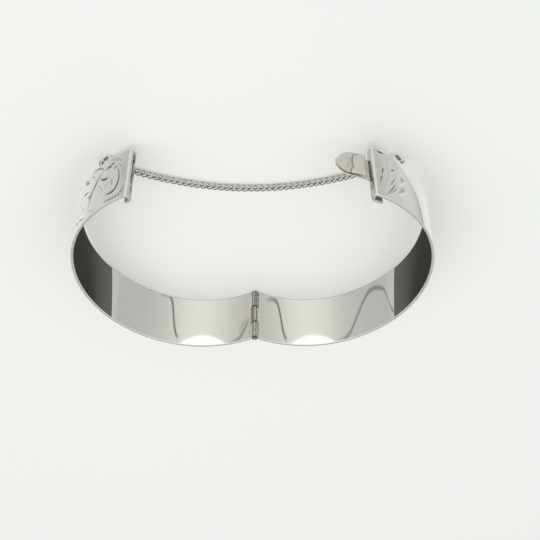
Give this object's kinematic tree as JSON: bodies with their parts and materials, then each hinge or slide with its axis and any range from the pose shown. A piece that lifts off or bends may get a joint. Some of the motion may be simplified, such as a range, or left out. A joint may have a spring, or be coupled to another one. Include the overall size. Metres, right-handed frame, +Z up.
{
  "type": "hinged bangle",
  "caption": "Flat-banded silver bangle opened at its pin hinge, with folded end plates, a tongue-and-slot catch and a twisted-link safety chain.",
  "frame": {"origin": "on the surface it lies on, under the middle of its bounding box", "axes": "+X from the slotted half to the half with the tongue, +Y from the hinge to the two free ends, +Z up, along the width of the band"},
  "size_m": [0.0896, 0.0614, 0.0183],
  "materials": {
    "band": "polished solid silver, lightly scratched, darker in the folds and the engraving",
    "pin": "dull, darkened pin ends",
    "tongue": "polished silver with a faint warm stain",
    "chain": "silver wire links with dark tarnish between them"
  },
  "bodies": {
    "root": {"left_half": "band", "right_half": "band", "hinge_pin": "pin", "catch_tongue": "tongue", "safety_chain": "chain"}
  },
  "joints": []
}
